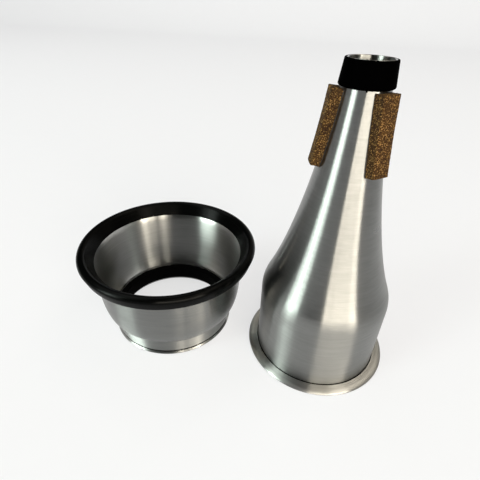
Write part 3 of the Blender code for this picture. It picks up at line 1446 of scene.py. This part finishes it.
# name, azimuth, spread, low end and high end in degrees, colour, radiance
Lamp = tuple[str, float, float, float, float, Colour, float]
LAMPS: dict[Falls, tuple[Lamp, ...]] = {
    Falls.ALL_ELSE: (
        ("left_window_edge", -149, 6, 2, 30, COOL, 9.5),
        ("left_window_core", -143.75, 4.5, 2, 30, COOL, 12),
        ("left_window_bar", -140, 3, 2, 30, COOL, 25),
        ("left_window_slope", -137.25, 2.5, 2, 30, COOL, 12),
        ("left_window_end", -132, 8, 2, 30, COOL, 8.5),
        ("left_window_top", -140, 24, 30, 50, COOL, 3.6),
        ("left_high", -143, 42, 50, 72, COOL, 1),
        ("right_edge", -83.2, 4.6, 2, 30, WARM, 8.6),
        ("right_slit_low", -77, 8, 2, 14, WARM, 5),
        ("right_slit", -77, 8, 14, 30, WARM, 11.5),
        ("right_window_low", -61.5, 23, 2, 14, WARM, 9.6),
        ("right_window", -61.5, 23, 14, 30, WARM, 7.2),
        ("right_bar", -47, 6, 2, 30, WARM, 8.4),
        ("right_end_low", -38, 12, 2, 14, WARM, 12.5),
        ("right_end", -38, 12, 14, 30, WARM, 10.5),
        ("right_top", -29, 18, 30, 50, WARM, 2.4),
        ("high_right", -47, 54, 50, 72, WARM, 1.7),
        ("high_far_right", 18, 66, 48, 72, WARM, 2.4),
        ("high_far_left", -174, 24, 36, 72, COOL, 1.4),
        ("high_behind_left", 138, 68, 48, 72, PLAIN, 1.7),
        ("behind", 64, 78, 24, 48, WARM, 0.45),
    ),
    Falls.CAP: (
        ("cap_overhead", -104, 60, 44, 80, PLAIN, 0.9),
        ("cap_left", -143.5, 6, 2, 30, COOL, 8),
        ("cap_window", -64, 34, 2, 30, WARM, 1.6),
        ("cap_bar", -50, 10, 2, 30, WARM, 6.5),
        ("cap_far_right", 62, 60, 44, 72, WARM, 2.6),
        ("cap_behind_left", 130, 60, 44, 72, COOL, 2.2),
    ),
    Falls.CUP: (
        ("cup_left_low", -137, 24, 2, 8, COOL, 9),
        ("cup_left", -136, 26, 8, 20, COOL, 46),
        ("cup_left_top", -134, 22, 20, 30, COOL, 17),
        ("cup_bar", -29, 8, 8, 20, WARM, 38),
        ("cup_bar_top", -29, 7, 20, 30, WARM, 36),
        ("cup_right", -41, 16, 8, 20, WARM, 18),
        ("cup_right_top", -40, 14, 20, 30, WARM, 7),
        ("cup_slit", -59, 9, 8, 20, WARM, 22),
        ("cup_slit_top", -60, 8, 20, 30, WARM, 16),
        ("cup_front", -67, 6, 8, 20, WARM, 10),
        ("cup_high_right", -29, 18, 30, 50, WARM, 3),
        ("cup_far_right", -8, 22, 20, 48, WARM, 2.6),
        ("cup_behind_right", 27, 48, 2, 24, PLAIN, 4.2),
        ("cup_behind_right_top", 18, 56, 30, 58, PLAIN, 2.2),
        ("cup_behind", 90, 78, 2, 24, PLAIN, 1.2),
        ("cup_behind_left", 170, 84, 2, 24, PLAIN, 1.6),
        ("cup_behind_left_top", 178, 70, 30, 58, PLAIN, 1.2),
    ),
}


@dataclass(frozen=True)
class Panel:
    """A soft lamp like a window, which faces the object from one side; angles are in degrees."""

    name: str
    azimuth: float
    spread: float
    low: float
    high: float
    colour: Colour
    radiance: float
    distance: float = 3.0
    aim: Triple = (-0.05, 0.0, 0.07)

    def put_up(self, receivers: Collection) -> None:
        """Put the lamp up.

        Args:
            receivers: the pieces that its light falls on.
        """
        rise = math.radians((self.low + self.high) / 2.0)
        turn = math.radians(self.azimuth)
        level = math.cos(rise)
        outwards = Vector((math.cos(turn) * level, math.sin(turn) * level, math.sin(rise)))
        width = 2.0 * self.distance * math.tan(math.radians(self.spread) / 2.0) * level
        height = 2.0 * self.distance * math.tan(math.radians(self.high - self.low) / 2.0)
        lamp = bpy.data.lights.new(self.name, "AREA")
        lamp.shape = "RECTANGLE"
        lamp.size = width
        lamp.size_y = height
        lamp.color = self.colour
        lamp.energy = self.radiance * math.pi * width * height
        stand = bpy.data.objects.new(self.name, lamp)
        stand.location = Vector(self.aim) + outwards * self.distance
        stand.rotation_euler = outwards.to_track_quat("Z", "Y").to_euler()
        stand.visible_camera = False
        stand.light_linking.receiver_collection = receivers
        bpy.context.scene.collection.objects.link(stand)


@dataclass(frozen=True)
class Viewpoint:
    """The photograph's camera."""

    place: Triple = (-16.54, -173.07, 187.80)
    heading: float = 11.84
    pitch: float = 33.74
    roll: float = 2.142
    lens: float = 26.92

    def set_up(self) -> None:
        """Set the camera up."""
        camera = bpy.data.cameras.new("camera")
        camera.lens = self.lens
        camera.sensor_width = 36.0
        camera.clip_start = 0.005
        stand = bpy.data.objects.new("camera", camera)
        bpy.context.scene.collection.objects.link(stand)
        turn = Matrix.Rotation(math.radians(self.heading), 4, "Z")
        tilt = Matrix.Rotation(math.radians(90.0 - self.pitch), 4, "X")
        roll = Matrix.Rotation(math.radians(self.roll), 4, "Z")
        stand.matrix_world = Matrix.Translation(Vector(self.place) * MM) @ turn @ tilt @ roll
        bpy.context.scene.camera = stand


@dataclass(frozen=True)
class Studio:
    """A plain pale floor, soft lamps like windows left and right, and the camera."""

    floor_colour: Colour = (0.66, 0.672, 0.72)
    floor_shade: Colour = (0.65, 0.662, 0.71)
    floor_clouds: Noise = (60.0, 2.0)
    glow_colour: Colour = (0.98, 0.98, 0.98)
    glow_share: float = 0.68
    world_colour: Colour = (0.03, 0.03, 0.03)
    floor_size: float = 12.0
    floor_back: float = 2.2
    floor_height: float = -0.0002
    sweep_round: float = 0.5
    sweep_steps: int = 12
    sweep_rise: float = 0.5

    def floor_finish(self) -> Material:
        """Mix the floor's pale finish, which glows for the camera and in reflections.

        Returns:
            The finish.
        """
        bench = Bench("pale_floor")
        share = bench.vary(bench.noise(bench.place(), *self.floor_clouds), 0.0, 1.0)
        bench.set_shader(
            Base_Color=bench.blend(share, self.floor_colour, self.floor_shade),
            Roughness=0.95,
            Specular_IOR_Level=0.0,
        )
        rays = bench.add("LightPath").outputs
        seen = bench.sum("MAXIMUM", rays["Is Camera Ray"], rays["Is Glossy Ray"])
        seen = bench.times(bench.sum("MAXIMUM", seen, rays["Is Transmission Ray"]), self.glow_share)
        glow = bench.get("Emission", self.glow_colour)
        mixed = bench.get("MixShader", seen, bench.shader.outputs["BSDF"], glow)
        bench.feed(bench.tree.nodes["Material Output"].inputs["Surface"], mixed)
        return bench.material

    def floor(self) -> Object:
        """Lay the floor, which sweeps up behind.

        Returns:
            The floor.
        """
        deselect_everything()
        far = self.floor_size / 2.0
        spot = (0.0, self.floor_back - far, self.floor_height)
        bpy.ops.mesh.primitive_plane_add(size=self.floor_size, location=spot)
        floor = new_piece("floor")
        select_edges(floor, lambda first, last: min(first.y, last.y) > far * 0.99)
        pivot = (0.0, self.floor_back, self.sweep_round)
        bpy.ops.mesh.spin(
            steps=self.sweep_steps, angle=-math.pi / 2.0, center=pivot, axis=(1.0, 0.0, 0.0)
        )
        rise = (0.0, 0.0, self.sweep_rise)
        bpy.ops.mesh.extrude_region_move(TRANSFORM_OT_translate={"value": rise})
        bpy.ops.object.mode_set(mode="OBJECT")
        bpy.ops.object.shade_smooth()
        floor.data.materials.append(self.floor_finish())
        return floor

    def world(self) -> None:
        """Fill the room with a dim even light."""
        world = bpy.data.worlds.new("room")
        world.use_nodes = True
        background = world.node_tree.nodes["Background"]
        background.inputs["Color"].default_value = (*self.world_colour, 1.0)
        bpy.context.scene.world = world

    def set_up(self, cup: Object, cap: Object, rest: list[Object]) -> None:
        """Set the studio up.

        Args:
            cup: the bare cup, which has lamps of its own.
            cap: the base cap, which has a few lamps besides those of the rest.
            rest: the other pieces.
        """
        bpy.context.scene.view_settings.view_transform = "Standard"
        lit = {Falls.ALL_ELSE: rest + [cap, self.floor()], Falls.CAP: [cap], Falls.CUP: [cup]}
        for choice, pieces in lit.items():
            receivers = bpy.data.collections.new(choice.value)
            for piece in pieces:
                receivers.objects.link(piece)
            for lamp in LAMPS[choice]:
                Panel(*lamp).put_up(receivers)
            log.info("%d lamps light %s", len(LAMPS[choice]), choice.value)
        self.world()
        Viewpoint().set_up()


def corners(box: tuple[Vector, Vector]) -> list[list[float]]:
    """Write a box as plain lists.

    Args:
        box: its lowest and highest corners.

    Returns:
        Both corners as lists of numbers.
    """
    return [[float(value) for value in corner] for corner in box]


def main() -> None:
    """Build the mute, the cup and the studio."""
    logging.basicConfig(level=logging.INFO, format="%(name)s: %(message)s")
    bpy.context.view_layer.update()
    taper = Taper()
    lathe = Lathe(0.0)
    inside = SpunMetal("mute_inner_metal", 0.0, roughness=0.30, groove_tilt=0.1)
    rest = [
        MuteBody(taper, lathe, SpunMetal("mute_spun_metal", 0.0), inside).build(),
        MouthSleeve(taper, lathe, SleeveVinyl()).build(),
    ]
    turned = SpunMetal("cap_turned_metal", 0.0, CAP_METAL, 0.34, coarse_share=0.45)
    cap = BaseCap(taper, lathe, turned, CreviceShade()).build()
    rest += CorkPads(taper, PressedCork(), ContactGlue()).build()
    wall = CupWall()
    lathe = Lathe(CUP_X)
    # The cup's wall above the collar is painted darker, as painted shade.
    outside = SpunMetal(
        "cup_spun_metal", CUP_X, roughness=0.24, dull_height=wall.collar_high, upper_painted_shade=0.78
    )
    inside = SpunMetal("cup_inner_metal", CUP_X, roughness=0.34, groove_tilt=0.1)
    cup = CupShell(wall, lathe, outside, inside, CreviceShade()).build()
    rest.append(CollarLining(wall, lathe, BlackFelt()).build())
    rest.append(RimRing(wall, lathe, TurnedRubber("ring_rubber", CUP_X)).build())
    Studio().set_up(cup, cap, rest)


if __name__ == "__main__":
    main()
